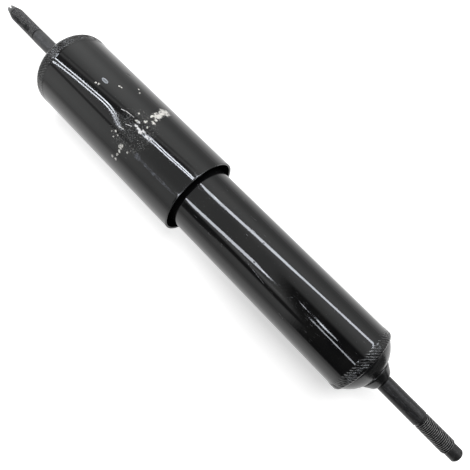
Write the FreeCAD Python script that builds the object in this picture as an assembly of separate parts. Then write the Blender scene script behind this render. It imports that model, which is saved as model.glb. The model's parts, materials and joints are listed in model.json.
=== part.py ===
import FreeCAD, Part
import math
import os

# Twin-tube shock absorber with a threaded stem at each end, lying along X.
# Millimetres. The origin is the middle of the lower stem's plain shank, and +X runs
# from the lower stem to the upper stem.

# Both stems: plain shank, a run-out neck, then the thread as a plain blank
stem_d = 10.0
thread_relief = 0.08
thread_neck_d = 9.1
thread_neck_length = 1.6
stem_chamfer = 0.8

# Lower stem, welded to the base cap by its collar
pin_plain_length = 26.5
pin_thread_length = 20.5
pin_dog_d = 8.3
pin_dog_length = 6.3
collar_face_d = 14.4
collar_face_height = 1.5
collar_d = 20.6
collar_neck_d = 20.0
collar_cone_height = 6.1
collar_height = 6.91

# Reserve tube and the domed cap that closes it
reserve_d = 45.0
reserve_wall = 1.5
base_cap_wall = 2.5
base_bend_r = 2.5
base_bend_degrees = 36.0
base_dome_r = 22.4
base_flat_d = 22.0
base_skirt_length = 8.0
base_weld_width = 7.0
base_weld_overhang = 2.0
base_weld_corner_r = 1.9
base_weld_corner_degrees = 80.0

# Seam welds at both ends stand a little proud of their tubes
weld_proud = 0.2
weld_ramp = 0.5

# Pressure tube
cylinder_bore = 27.0
cylinder_wall = 1.2

# Foot valve in the lower end of the pressure tube
foot_height = 7.2
foot_wall = 3.0
foot_notch_width = 8.0
foot_notch_height = 4.0
valve_flange = 3.5
valve_spigot = 4.5
valve_pin_d = 6.0
valve_boss_d = 8.0
valve_boss_height = 3.5
valve_head_d = 17.0
valve_head_height = 1.5
valve_retainer_d = 13.0
valve_retainer_height = 1.0
valve_rivet_d = 8.4
valve_rivet_height = 1.4
intake_hole_d = 3.2
intake_hole_count = 8
bleed_hole_d = 1.8
bleed_hole_count = 4
valve_plate_height = 0.6
bleed_spring_length = 4.9

# Rod guide, seal pack and the tube's rolled top
guide_spigot = 7.0
guide_flange = 12.0
guide_recess_d = 22.0
guide_recess_depth = 6.0
guide_bush_wall = 1.2
guide_drain_d = 3.0
guide_drain_count = 4
o_ring_section = 2.0
seal_flange = 3.0
seal_hub_wall = 2.4
seal_lip_length = 4.5
garter_section = 1.6
garter_inset = 3.0
seal_cap_height = 2.0
seal_cap_edge_r = 1.6
rolled_lip_width = 4.0

# Piston rod and what is clamped on its tenon
rod_d = 12.0
tenon_d = 8.0
tenon_end = 0.8
stop_washer_d = 24.0
stop_washer_height = 2.0
bumper_d = 22.0
bumper_height = 7.0
bumper_edge_r = 1.5
piston_height = 15.0
piston_boss_wall = 1.2
piston_boss_height = 3.0
ring_height = 3.0
ring_depth = 1.6
ring_slit = 0.6
compression_port_d = 2.4
compression_port_count = 8
rebound_port_d = 1.8
rebound_port_count = 4
nut_neck_wall = 1.0
nut_neck_length = 14.0
nut_flange_d = 18.0
nut_flange_height = 2.0
nut_flats = 13.0
nut_height = 6.0
spring_seat_height = 1.2

# Valve springs, their round wire drawn with a few flats
wire_flat_count = 6
spring_wire_d = 0.7
rebound_wire_d = 1.6
spring_turns = 2.0
bleed_turns = 3.0
rebound_turns = 4.0

# Dust cover and upper stem
cover_d = 56.0
cover_wall = 1.2
cover_length = 123.0
cover_cap_wall = 2.0
cover_bend_r = 1.0
cover_bend_degrees = 54.0
cover_dome_r = 45.0
cover_flat_d = 38.0
cover_skirt_length = 6.0
cover_weld_width = 8.2
cover_weld_overhang = 1.0
cover_weld_corner_r = 3.0
cover_weld_corner_degrees = 56.0
cover_pilot_d = 10.8
upper_plain_length = 33.7
upper_thread_length = 26.2
upper_tip_length = 8.1
upper_tip_d = 5.4
tip_slot_width = 1.3
tip_slot_depth = 3.6

# Travel from the pose that is modelled
compression_travel = 82.0
extension_left = 8.0
closed_gap = 8.0
bottom_clearance = 2.0

# Fits, all radial or along the axis
running_fit = 0.03
piston_fit = 0.15
guide_fit = 0.05
groove_play = 0.05
plate_play = 0.1
rod_hole_play = 0.8
spring_play = 0.02
port_land = 0.4

AXIS = FreeCAD.Vector(1, 0, 0)
CENTRE = FreeCAD.Vector(0, 0, 0)


def at(x, r, degrees=0.0):
    turn = math.radians(degrees)
    return FreeCAD.Vector(x, r * math.cos(turn), r * math.sin(turn))


def on_arc(centre, radius, degrees):
    # A point of the half section: 0 degrees points outwards, 90 degrees towards -X.
    turn = math.radians(degrees)
    return (centre[0] - radius * math.sin(turn), centre[1] + radius * math.cos(turn))


def turned(first, *steps):
    # Solid of revolution about the damper's axis. A step is the next (x, r) corner,
    # or a pair of points: one that an arc passes through, and its end.
    edges = []
    here = at(*first)
    for step in steps + (first,):
        if isinstance(step[0], tuple):
            through, end = at(*step[0]), at(*step[1])
            edges.append(Part.Arc(here, through, end).toShape())
        else:
            end = at(*step)
            edges.append(Part.makeLine(here, end))
        here = end
    return Part.Face(Part.Wire(edges)).revolve(CENTRE, AXIS, 360)


def sleeve(x_low, x_high, inner_r, outer_r):
    return turned((x_low, inner_r), (x_low, outer_r), (x_high, outer_r), (x_high, inner_r))


def holes(x_low, x_high, circle_r, hole_d, count, first_degrees=0.0):
    step = 360.0 / count
    return [
        Part.makeCylinder(hole_d / 2, x_high - x_low, at(x_low, circle_r, first_degrees + step * i), AXIS)
        for i in range(count)
    ]


def torus(x, circle_r, section_d):
    return Part.makeTorus(circle_r, section_d / 2, at(x, 0), AXIS)


def coil(x_low, x_high, mean_r, wire_d, turns):
    # Wire wound between two seats, clear of both by the spring play.
    start = x_low + wire_d / 2 + spring_play
    rise = x_high - wire_d / 2 - spring_play - start
    path = Part.makeHelix(rise / turns, rise, mean_r)
    lead = FreeCAD.Vector(0, 2 * math.pi * mean_r, rise / turns)
    outline = Part.makeCircle(wire_d / 2, FreeCAD.Vector(mean_r, 0, 0), lead)
    section = Part.makePolygon(outline.discretize(wire_flat_count + 1))
    wound = Part.Wire(path).makePipeShell([section], True, True)
    wound.rotate(CENTRE, FreeCAD.Vector(0, 1, 0), 90)
    wound.translate(at(start, 0))
    return wound


def closed_end(tube_r, wall, cap_wall, bend_r, bend_degrees, dome_r, flat_r, hole_r, skirt, weld):
    # Pressed cap inside a tube that ends at x = 0, and the seam weld round its rim. The cap
    # faces -X: skirt, bend, dome, flat. Returns the cap, the weld, the flat's x and the centre
    # of the dome.
    weld_width, overhang, corner_r, corner_degrees = weld
    inner_r = tube_r - wall
    knee_r = bend_r + cap_wall
    knee = (overhang - weld_width, inner_r - knee_r)
    dome = on_arc(knee, knee_r - dome_r, bend_degrees)
    flat_degrees = math.degrees(math.acos((flat_r - dome[1]) / dome_r))
    flat_x = on_arc(dome, dome_r, flat_degrees)[0]
    floor_x = flat_x + cap_wall
    lining_r = dome_r - cap_wall
    floor_degrees = math.degrees(math.asin((dome[0] - floor_x) / lining_r))
    cap = turned(
        (skirt, inner_r),
        (knee[0], inner_r),
        (on_arc(knee, knee_r, bend_degrees / 2), on_arc(knee, knee_r, bend_degrees)),
        (on_arc(dome, dome_r, (bend_degrees + flat_degrees) / 2), (flat_x, flat_r)),
        (flat_x, hole_r),
        (floor_x, hole_r),
        on_arc(dome, lining_r, floor_degrees),
        (on_arc(dome, lining_r, (floor_degrees + bend_degrees) / 2), on_arc(knee, bend_r, bend_degrees)),
        (on_arc(knee, bend_r, bend_degrees / 2), (knee[0], inner_r - cap_wall)),
        (skirt, inner_r - cap_wall),
    )
    crown_r = tube_r + weld_proud
    corner_reach = corner_r * math.sin(math.radians(corner_degrees))
    corner = (corner_reach - weld_width, crown_r - corner_r)
    root_degrees = math.degrees(math.asin(overhang / knee_r))
    bead = turned(
        (0.0, inner_r),
        (0.0, tube_r),
        (-weld_ramp, crown_r),
        (corner[0], crown_r),
        (on_arc(corner, corner_r, corner_degrees / 2), on_arc(corner, corner_r, corner_degrees)),
        on_arc(knee, knee_r, root_degrees),
        (on_arc(knee, knee_r, root_degrees / 2), (knee[0], inner_r)),
    )
    return cap, bead, flat_x, dome


def save(name, solid):
    solid.exportStep("parts/%s.step" % name)


os.makedirs("parts", exist_ok=True)

stem_r = stem_d / 2
thread_r = stem_r - thread_relief
thread_neck_r = thread_neck_d / 2
reserve_r = reserve_d / 2
reserve_bore_r = reserve_r - reserve_wall
bore_r = cylinder_bore / 2
cylinder_r = bore_r + cylinder_wall
rod_r = rod_d / 2
tenon_r = tenon_d / 2
cover_r = cover_d / 2

# Lower stem: dog point, thread blank, plain shank and the welded collar
shank_low = -pin_plain_length / 2
collar_x = pin_plain_length / 2
base_x = collar_x + collar_height
neck_low = shank_low - thread_neck_length
dog_x = shank_low - pin_thread_length
pin_tip_x = dog_x - pin_dog_length
dog_r = pin_dog_d / 2
collar_r = collar_d / 2
rim_x = collar_x + collar_cone_height
lower_stem = turned(
    (pin_tip_x, 0.0),
    (pin_tip_x, dog_r - stem_chamfer),
    (pin_tip_x + stem_chamfer, dog_r),
    (dog_x, dog_r),
    (dog_x + thread_r - dog_r, thread_r),
    (neck_low, thread_r),
    (neck_low + thread_r - thread_neck_r, thread_neck_r),
    (shank_low - stem_r + thread_neck_r, thread_neck_r),
    (shank_low, stem_r),
    (collar_x, stem_r),
    (collar_x + collar_face_height, collar_face_d / 2),
    (rim_x, collar_r),
    (((rim_x + base_x) / 2, collar_r), (base_x, collar_neck_d / 2)),
    (base_x, 0.0),
)
save("lower_stem", lower_stem)

# Base cap and its seam weld
base_cap, base_weld, base_flat, base_dome = closed_end(
    reserve_r,
    reserve_wall,
    base_cap_wall,
    base_bend_r,
    base_bend_degrees,
    base_dome_r,
    base_flat_d / 2,
    0.0,
    base_skirt_length,
    (base_weld_width, base_weld_overhang, base_weld_corner_r, base_weld_corner_degrees),
)
tube_low = base_x - base_flat
for name, solid in (("base_cap", base_cap), ("base_weld", base_weld)):
    solid.translate(at(tube_low, 0))
    save(name, solid)

# Foot valve: its castellated foot stands on the dome of the cap's inside
foot_drop = math.sqrt((base_dome_r - base_cap_wall) ** 2 - (cylinder_r - base_dome[1]) ** 2)
foot_x = tube_low + base_dome[0] - foot_drop + groove_play
valve_floor = foot_x + foot_height
cylinder_low = valve_floor + valve_flange
valve_top = cylinder_low + valve_spigot
foot_inner_r = cylinder_r - foot_wall
valve_pin_r = valve_pin_d / 2
valve_boss_r = valve_boss_d / 2
valve_head_r = valve_head_d / 2
head_x = valve_top + valve_boss_height
valve_pin_top = head_x + valve_head_height
intake_outer_r = bore_r - port_land
intake_inner_r = (valve_head_r + valve_boss_r) / 2
intake_r = (intake_inner_r + intake_outer_r) / 2
bleed_r = valve_pin_r + port_land + bleed_hole_d
bleed_disc_r = bleed_r + bleed_hole_d / 2 + port_land
base_valve_body = turned(
    (foot_x, foot_inner_r),
    (foot_x, cylinder_r),
    (cylinder_low, cylinder_r),
    (cylinder_low, bore_r),
    (valve_top, bore_r),
    (valve_top, valve_pin_r),
    (valve_floor, valve_pin_r),
    (valve_floor, foot_inner_r),
)
notch_corner = FreeCAD.Vector(foot_x, -foot_notch_width / 2, -2 * cylinder_r)
notch = Part.makeBox(foot_notch_height, foot_notch_width, 4 * cylinder_r, notch_corner)
crossed_notch = notch.copy()
crossed_notch.rotate(CENTRE, AXIS, 90)
passages = holes(valve_floor, valve_top, intake_r, intake_hole_d, intake_hole_count)
passages += holes(valve_floor, valve_top, bleed_r, bleed_hole_d, bleed_hole_count, 45.0)
save("base_valve_body", base_valve_body.cut([notch, crossed_notch] + passages))

bleed_disc_low = valve_floor - valve_plate_height
retainer_top = bleed_disc_low - bleed_spring_length
retainer_low = retainer_top - valve_retainer_height
rivet_low = retainer_low - valve_rivet_height
base_valve_pin = turned(
    (rivet_low, 0.0),
    (rivet_low, valve_pin_r),
    (retainer_low, valve_rivet_d / 2),
    (retainer_low, valve_pin_r),
    (valve_top, valve_pin_r),
    (valve_top, valve_boss_r),
    (head_x, valve_boss_r),
    (head_x, valve_head_r),
    (valve_pin_top, valve_head_r),
    (valve_pin_top, 0.0),
)
save("base_valve_pin", base_valve_pin)
save("base_valve_retainer", sleeve(retainer_low, retainer_top, valve_pin_r, valve_retainer_d / 2))
bleed_disc_inner_r = valve_pin_r + plate_play
save("compression_disc", sleeve(bleed_disc_low, valve_floor, bleed_disc_inner_r, bleed_disc_r))
bleed_spring_r = (valve_pin_r + bleed_disc_r) / 2
bleed_spring = coil(retainer_top, bleed_disc_low, bleed_spring_r, spring_wire_d, bleed_turns)
save("compression_spring", bleed_spring)
intake_plate_top = valve_top + valve_plate_height
save("base_check_plate", sleeve(valve_top, intake_plate_top, intake_inner_r, intake_outer_r))
intake_spring_r = (intake_inner_r + valve_head_r) / 2
intake_spring = coil(intake_plate_top, head_x, intake_spring_r, spring_wire_d, spring_turns)
save("base_check_spring", intake_spring)

# Lengths along the axis that follow from the travel
nut_length = nut_neck_length + nut_flange_height + nut_height
tenon_length = stop_washer_height + piston_boss_height + piston_height + nut_length + tenon_end
rod_low = valve_pin_top + bottom_clearance + compression_travel
rod_shoulder = rod_low + tenon_length
bumper_top = rod_shoulder + bumper_height
guide_low = bumper_top + extension_left
cylinder_high = guide_low + guide_spigot
guide_top = cylinder_high + guide_flange
seal_top = guide_top + seal_flange
seal_cap_top = seal_top + seal_cap_height
reserve_top = seal_cap_top + reserve_wall
cover_seat = reserve_top + closed_gap + compression_travel
cover_top = cover_seat + cover_cap_wall

save("pressure_tube", sleeve(cylinder_low, cylinder_high, bore_r, cylinder_r))

# Reserve tube, its top rolled in over the seal cap
roll_r = seal_cap_edge_r + reserve_wall
roll_x = reserve_top - roll_r
roll_centre = (roll_x, reserve_r - roll_r)
lip_inner_r = reserve_r - roll_r - rolled_lip_width
reserve_tube = turned(
    (tube_low, reserve_bore_r),
    (tube_low, reserve_r),
    (roll_x, reserve_r),
    (on_arc(roll_centre, roll_r, -45), (reserve_top, roll_centre[1])),
    (reserve_top, lip_inner_r),
    (seal_cap_top, lip_inner_r),
    (seal_cap_top, roll_centre[1]),
    (on_arc(roll_centre, seal_cap_edge_r, -45), (roll_x, reserve_bore_r)),
)
save("reserve_tube", reserve_tube)

# Rod guide with its bush, drain holes and static seal
guide_r = reserve_bore_r - guide_fit
bush_r = rod_r + running_fit + guide_bush_wall
recess_r = guide_recess_d / 2
recess_floor = guide_top - guide_recess_depth
rod_guide = turned(
    (guide_low, bush_r),
    (guide_low, bore_r),
    (cylinder_high, bore_r),
    (cylinder_high, guide_r),
    (guide_top, guide_r),
    (guide_top, recess_r),
    (recess_floor, recess_r),
    (recess_floor, bush_r),
)
o_ring_x = (cylinder_high + guide_top) / 2
o_ring_r = guide_r - o_ring_section / 2
o_ring_groove = sleeve(
    o_ring_x - o_ring_section / 2,
    o_ring_x + o_ring_section / 2,
    o_ring_r - o_ring_section / 2,
    reserve_bore_r,
)
drain_inner_r = max(recess_r, cylinder_r)
drain_r = (drain_inner_r + guide_r - o_ring_section) / 2
drains = holes(cylinder_high, guide_top, drain_r, guide_drain_d, guide_drain_count)
save("rod_guide", rod_guide.cut([o_ring_groove] + drains))
save("guide_bush", sleeve(guide_low, recess_floor, rod_r + running_fit, bush_r))
save("guide_o_ring", torus(o_ring_x, o_ring_r, o_ring_section))

# Rod seal with its garter spring, and the cap over it
seal_bore_r = rod_r + running_fit
hub_r = seal_bore_r + seal_hub_wall
lip_low = guide_top - seal_lip_length
garter_x = guide_top - garter_inset
rod_seal = turned(
    (lip_low, seal_bore_r),
    (lip_low, hub_r),
    (guide_top, hub_r),
    (guide_top, guide_r),
    (seal_top, guide_r),
    (seal_top, seal_bore_r),
)
save("rod_seal", rod_seal.cut(torus(garter_x, hub_r, garter_section + groove_play)))
save("garter_spring", torus(garter_x, hub_r, garter_section))
seal_cap_hole_r = rod_r + rod_hole_play
seal_cap = turned(
    (seal_top, seal_cap_hole_r),
    (seal_top, reserve_bore_r),
    (roll_x, reserve_bore_r),
    (on_arc(roll_centre, seal_cap_edge_r, -45), (seal_cap_top, roll_centre[1])),
    (seal_cap_top, seal_cap_hole_r),
)
save("seal_cap", seal_cap)

# Piston rod: tenon, rod, pilot for the cover's cap, upper stem with a slotted tip
shank_high = cover_top + upper_plain_length
neck_high = shank_high + thread_neck_length
upper_thread_high = shank_high + upper_thread_length
tip_x = upper_thread_high + upper_tip_length
piston_rod = turned(
    (rod_low, 0.0),
    (rod_low, tenon_r - stem_chamfer),
    (rod_low + stem_chamfer, tenon_r),
    (rod_shoulder, tenon_r),
    (rod_shoulder, rod_r),
    (cover_seat, rod_r),
    (cover_seat, cover_pilot_d / 2),
    (cover_top, cover_pilot_d / 2),
    (cover_top, stem_r),
    (shank_high, stem_r),
    (shank_high + stem_r - thread_neck_r, thread_neck_r),
    (neck_high - thread_r + thread_neck_r, thread_neck_r),
    (neck_high, thread_r),
    (upper_thread_high, thread_r),
    (tip_x, upper_tip_d / 2),
    (tip_x, 0.0),
)
slot_corner = FreeCAD.Vector(tip_x - tip_slot_depth, -tip_slot_width / 2, -stem_d)
slot = Part.makeBox(tip_slot_depth, tip_slot_width, 2 * stem_d, slot_corner)
save("piston_rod", piston_rod.cut(slot))

# Dust cover, its cap on the rod's pilot and the seam weld, turned to face +X
cover_cap, cover_weld, cover_flat, _ = closed_end(
    cover_r,
    cover_wall,
    cover_cap_wall,
    cover_bend_r,
    cover_bend_degrees,
    cover_dome_r,
    cover_flat_d / 2,
    cover_pilot_d / 2,
    cover_skirt_length,
    (cover_weld_width, cover_weld_overhang, cover_weld_corner_r, cover_weld_corner_degrees),
)
cover_high = cover_top + cover_flat
cover_low = cover_high - cover_length
save("dust_cover", sleeve(cover_low, cover_high, cover_r - cover_wall, cover_r))
for name, solid in (("dust_cover_cap", cover_cap), ("dust_cover_weld", cover_weld)):
    solid.rotate(CENTRE, FreeCAD.Vector(0, 0, 1), 180)
    solid.translate(at(cover_high, 0))
    save(name, solid)

# Rebound stop on the rod's shoulder
washer_low = rod_shoulder - stop_washer_height
save("stop_washer", sleeve(washer_low, rod_shoulder, tenon_r, stop_washer_d / 2))
bumper_r = bumper_d / 2
bumper_turn = bumper_edge_r * (1 - math.cos(math.radians(45)))
rebound_bumper = turned(
    (rod_shoulder, rod_r),
    (rod_shoulder, bumper_r),
    (bumper_top - bumper_edge_r, bumper_r),
    ((bumper_top - bumper_turn, bumper_r - bumper_turn), (bumper_top, bumper_r - bumper_edge_r)),
    (bumper_top, rod_r),
)
save("rebound_bumper", rebound_bumper)

# Piston with its two rings of ports, and the ring in its groove
piston_r = bore_r - piston_fit
piston_top = washer_low - piston_boss_height
piston_low = piston_top - piston_height
boss_r = tenon_r + piston_boss_wall
ring_middle = (piston_low + piston_top) / 2
groove_half = ring_height / 2 + groove_play
ring_outer_r = bore_r - running_fit
ring_inner_r = ring_outer_r - ring_depth
groove_r = ring_inner_r - piston_fit
rebound_port_r = boss_r + port_land + rebound_port_d / 2
rebound_disc_r = rebound_port_r + rebound_port_d / 2 + port_land
compression_port_r = rebound_disc_r + port_land + compression_port_d / 2
check_plate_inner_r = compression_port_r - compression_port_d / 2 - port_land
check_plate_outer_r = compression_port_r + compression_port_d / 2 + port_land
piston = turned(
    (piston_low, tenon_r),
    (piston_low, piston_r),
    (ring_middle - groove_half, piston_r),
    (ring_middle - groove_half, groove_r),
    (ring_middle + groove_half, groove_r),
    (ring_middle + groove_half, piston_r),
    (piston_top, piston_r),
    (piston_top, boss_r),
    (washer_low, boss_r),
    (washer_low, tenon_r),
)
ports = holes(piston_low, piston_top, compression_port_r, compression_port_d, compression_port_count)
ports += holes(piston_low, piston_top, rebound_port_r, rebound_port_d, rebound_port_count)
save("piston", piston.cut(ports))
ring_low = ring_middle - ring_height / 2
ring = sleeve(ring_low, ring_low + ring_height, ring_inner_r, ring_outer_r)
slit = Part.makeBox(ring_height, ring_slit, cylinder_bore, FreeCAD.Vector(ring_low, -ring_slit / 2, 0))
save("piston_ring", ring.cut(slit))

# Check plate on the piston, sprung off the stop washer
check_plate_top = piston_top + valve_plate_height
save("piston_check_plate", sleeve(piston_top, check_plate_top, check_plate_inner_r, check_plate_outer_r))
check_spring = coil(check_plate_top, washer_low, compression_port_r, spring_wire_d, spring_turns)
save("piston_check_spring", check_spring)

# Nut that clamps the piston; its neck guides the rebound valve
neck_r_nut = tenon_r + nut_neck_wall
nut_flange_top = piston_low - nut_neck_length
nut_top = nut_flange_top - nut_flange_height
nut_low = nut_top - nut_height
nut_corner_r = nut_flats / 2 / math.cos(math.radians(30))
hexagon = [at(nut_low, nut_corner_r, 60 * i) for i in range(7)]
hexagon_prism = Part.Face(Part.makePolygon(hexagon)).extrude(at(nut_height, 0))
nut_round = turned(
    (nut_low, 0.0),
    (nut_low, nut_flats / 2),
    (nut_low + nut_corner_r - nut_flats / 2, nut_corner_r),
    (nut_top, nut_corner_r),
    (nut_top, 0.0),
)
nut_collar = turned(
    (nut_top, 0.0),
    (nut_top, nut_flange_d / 2),
    (nut_flange_top, nut_flange_d / 2),
    (nut_flange_top, neck_r_nut),
    (piston_low, neck_r_nut),
    (piston_low, 0.0),
)
nut_bore = Part.makeCylinder(tenon_r, nut_length, at(nut_low, 0), AXIS)
piston_nut = hexagon_prism.common(nut_round).fuse(nut_collar).cut(nut_bore)
save("piston_nut", piston_nut)

# Rebound valve: disc over the inner ports, spring seat and spring
rebound_inner_r = neck_r_nut + plate_play
disc_low = piston_low - valve_plate_height
seat_low = disc_low - spring_seat_height
save("rebound_disc", sleeve(disc_low, piston_low, rebound_inner_r, rebound_disc_r))
save("rebound_spring_seat", sleeve(seat_low, disc_low, rebound_inner_r, rebound_disc_r))
rebound_spring_r = rebound_inner_r + rebound_wire_d / 2 + plate_play
rebound_spring = coil(nut_flange_top, seat_low, rebound_spring_r, rebound_wire_d, rebound_turns)
save("rebound_spring", rebound_spring)
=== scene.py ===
import json
import math

import bmesh
import bpy
from mathutils import Matrix, Vector


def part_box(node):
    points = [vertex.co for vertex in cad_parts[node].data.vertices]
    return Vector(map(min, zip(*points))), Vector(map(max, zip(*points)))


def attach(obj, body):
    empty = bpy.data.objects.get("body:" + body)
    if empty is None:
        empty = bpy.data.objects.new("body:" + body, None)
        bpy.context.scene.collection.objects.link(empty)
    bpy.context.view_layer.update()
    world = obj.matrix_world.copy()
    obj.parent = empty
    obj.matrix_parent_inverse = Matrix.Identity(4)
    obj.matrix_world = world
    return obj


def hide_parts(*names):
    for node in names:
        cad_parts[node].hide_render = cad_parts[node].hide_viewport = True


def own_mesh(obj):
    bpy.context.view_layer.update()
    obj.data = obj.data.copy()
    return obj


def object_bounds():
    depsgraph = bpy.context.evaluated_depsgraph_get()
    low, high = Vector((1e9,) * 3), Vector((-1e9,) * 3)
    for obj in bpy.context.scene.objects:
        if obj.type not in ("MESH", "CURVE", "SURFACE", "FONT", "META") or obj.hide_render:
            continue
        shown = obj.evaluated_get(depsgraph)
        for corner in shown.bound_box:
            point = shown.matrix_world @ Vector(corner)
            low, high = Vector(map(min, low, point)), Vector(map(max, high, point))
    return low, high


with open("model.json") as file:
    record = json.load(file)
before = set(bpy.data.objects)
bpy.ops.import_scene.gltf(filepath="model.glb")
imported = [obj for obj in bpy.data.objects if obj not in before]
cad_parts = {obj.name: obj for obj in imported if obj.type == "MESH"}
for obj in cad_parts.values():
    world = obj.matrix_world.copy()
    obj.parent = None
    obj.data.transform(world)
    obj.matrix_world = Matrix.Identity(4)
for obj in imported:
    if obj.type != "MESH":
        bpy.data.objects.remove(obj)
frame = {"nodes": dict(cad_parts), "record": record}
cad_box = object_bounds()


# Lower stem: a turned steel pin with a rolled thread and a dog point, blackened by phosphating.
# A bush and cup washers slide on its plain shank, and a nut holds them. Its collar is welded
# to the base cap and is painted with it.
def arithmetic(operation):
    # A method that adds a Math node of that kind, for one signal or for two
    def method(self, other=0.0):
        return self.math(operation, self, other)
    return method


class Signal:
    """A socket of a node tree. Arithmetic on it adds Math nodes, and node() adds any other."""

    def __init__(self, socket):
        self.socket = socket

    def node(self, kind, settings=None, sockets=None, output=0):
        made = self.socket.id_data.nodes.new(kind)
        for name, value in (settings or {}).items():
            setattr(made, name, value)
        for key, value in (sockets or {}).items():
            if isinstance(value, Signal):
                self.socket.id_data.links.new(value.socket, made.inputs[key])
            else:
                made.inputs[key].default_value = value
        return Signal(made.outputs[output])

    def math(self, operation, first, second=0.0):
        return self.node("ShaderNodeMath", {"operation": operation}, {0: first, 1: second})

    __add__ = __radd__ = arithmetic("ADD")
    __sub__ = arithmetic("SUBTRACT")
    __mul__ = __rmul__ = arithmetic("MULTIPLY")
    __truediv__ = arithmetic("DIVIDE")
    __abs__ = arithmetic("ABSOLUTE")
    least = arithmetic("MINIMUM")
    most = arithmetic("MAXIMUM")
    sine = arithmetic("SINE")
    cosine = arithmetic("COSINE")

    def __rsub__(self, other):
        return self.math("SUBTRACT", other, self)

    def eased(self, low, high):
        # 0 up to low, 1 from high on, smooth between them; high may be the lower number
        sockets = {"Value": self, "From Min": low, "From Max": high}
        return self.node("ShaderNodeMapRange", {"interpolation_type": "SMOOTHSTEP"}, sockets)

    def axes(self):
        return [self.node("ShaderNodeSeparateXYZ", None, {0: self}, output) for output in range(3)]

    def off_axis(self):
        # how far a place is from the damper's axis
        _, y, z = self.axes()
        return self.math("SQRT", y * y + z * z)

    def scaled(self, x, y, z):
        return self.node("ShaderNodeVectorMath", {"operation": "MULTIPLY"}, {0: self, 1: (x, y, z)})

    def noise(self, scale, detail=3.0, roughness=0.5):
        # grey cloud from 0 to 1, with scale as the number of patches in a metre
        sockets = {"Vector": self, "Scale": scale, "Detail": detail, "Roughness": roughness}
        return self.node("ShaderNodeTexNoise", None, sockets)

    def between(self, low_colour, high_colour):
        # a colour between the two, as far as this signal says
        sockets = {0: self}
        for key, colour in ((6, low_colour), (7, high_colour)):
            sockets[key] = colour if isinstance(colour, Signal) else (*colour, 1.0)
        return self.node("ShaderNodeMix", {"data_type": "RGBA"}, sockets, 2)


def finish(name, **constants):
    # A new material with its constants set, and the place on the piece that its patterns read
    material = bpy.data.materials.new(name)
    material.use_nodes = True
    shader = material.node_tree.nodes["Principled BSDF"]
    for socket, value in constants.items():
        shader.inputs[socket.replace("_", " ")].default_value = value
    return material, Signal(material.node_tree.nodes.new("ShaderNodeTexCoord").outputs["Object"])


def feed(material, **signals):
    # Leads signals to sockets of the material's shader
    shader = material.node_tree.nodes["Principled BSDF"]
    for socket, signal in signals.items():
        material.node_tree.links.new(signal.socket, shader.inputs[socket.replace("_", " ")])


def coated(material, colour, roughness, height, depth):
    # The material with its patterns led in, where a height of 1 stands for depth in metres
    relief = height.node("ShaderNodeBump", None, {"Distance": depth, "Height": height})
    feed(material, Base_Color=colour, Roughness=roughness, Normal=relief)
    return material


def phosphate(name, dark, pale, bare_and_glint, crest=None, stained_and_shaded=None):
    # Phosphated steel: matt crystals, drawing lines along the bar, high spots rubbed to pale steel.
    # On a thread, whose crest radius is given, the crests are rubbed most, and their pale steel is also a
    # painted highlight.
    material, place = finish(name, Metallic=0.35, IOR=1.6)
    crystals = place.noise(5200.0, 4.0, 0.65)
    cloud = place.noise(230.0)
    lines = place.scaled(0.06, 1.0, 1.0).noise(2600.0, 2.0)
    pale_marks = (place.noise(900.0, 3.0, 0.7) * 0.6 + lines * 0.4).eased(0.52, 0.68)
    if crest:
        # Crests paler: rubbed steel, and a painted highlight along them
        worn_and_highlit_crest = place.off_axis().eased(crest - crest_wear_and_highlight, crest)
        patches = place.noise(1100.0, 3.0, 0.7).eased(0.26, 0.62)
        pale_marks = (pale_marks * 0.4 + worn_and_highlit_crest * patches).least(1.0)
    tone = (crystals * 0.4 + cloud * 0.6).eased(0.28, 0.72)
    colour = pale_marks.between(tone.between(dark, pale), bare_and_glint)
    # Where given, a stain that is also painted shade
    if stained_and_shaded:
        colour = stained_and_shaded(place, colour)
    roughness = 0.39 - pale_marks * 0.06 + (cloud - 0.5) * 0.24
    return coated(material, colour, roughness, crystals + lines * 0.6, crystal_relief)


def turned(outline, around, closed=False):
    # Turns (x, radius) points about the damper's axis. The outline ends on the axis, or closes
    # on itself as a ring, or stays open where another part of the piece goes on. Long straight
    # runs get a ring near each end, so that they reflect as straight tubes.
    shape = bmesh.new()
    points = []
    for start, end in zip(outline, outline[1:] + outline[:1] if closed else outline[1:]):
        points.append(start)
        run = math.dist(start, end)
        if run > long_run:
            near = run_hold / run
            for share in (near, 1 - near):
                points.append(tuple(a + (b - a) * share for a, b in zip(start, end)))
    if not closed:
        points.append(outline[-1])
    rings = []
    for x, radius in points:
        turns = [2 * math.pi * i / around for i in range(around if radius > 0.0 else 1)]
        rings.append([shape.verts.new((x, radius * math.cos(t), radius * math.sin(t))) for t in turns])
    for low, high in zip(rings, rings[1:] + rings[:1] if closed else rings[1:]):
        for i in range(around):
            j = (i + 1) % around
            corners = (low[i % len(low)], low[j % len(low)], high[j % len(high)], high[i % len(high)])
            shape.faces.new(list(dict.fromkeys(corners)))
    return shape


def softened(corners, reach, steps=4):
    # The same outline with its corners rounded off, starting at reach from each
    rounded = corners[:1]
    for before, corner, after in zip(corners, corners[1:], corners[2:]):
        here = Vector(corner)
        back = Vector(before) - here
        on = Vector(after) - here
        start = here + back.normalized() * min(reach, back.length * most_of_run)
        end = here + on.normalized() * min(reach, on.length * most_of_run)
        for i in range(steps + 1):
            t = i / steps
            rounded.append(tuple(start * (1 - t) ** 2 + here * 2 * t * (1 - t) + end * t ** 2))
    return rounded + corners[-1:]


def added(name, data):
    # A new object in the scene
    made = bpy.data.objects.new(name, data)
    bpy.context.scene.collection.objects.link(made)
    return made


def meshed(shape, name="shape"):
    # The mesh of a finished bmesh
    mesh = bpy.data.meshes.new(name)
    shape.to_mesh(mesh)
    shape.free()
    return mesh


def smoothed(mesh, crease):
    # Smooth but for edges that turn by more than the crease, in degrees
    mesh.shade_smooth()
    mesh.set_sharp_from_angle(angle=math.radians(crease))


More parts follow.
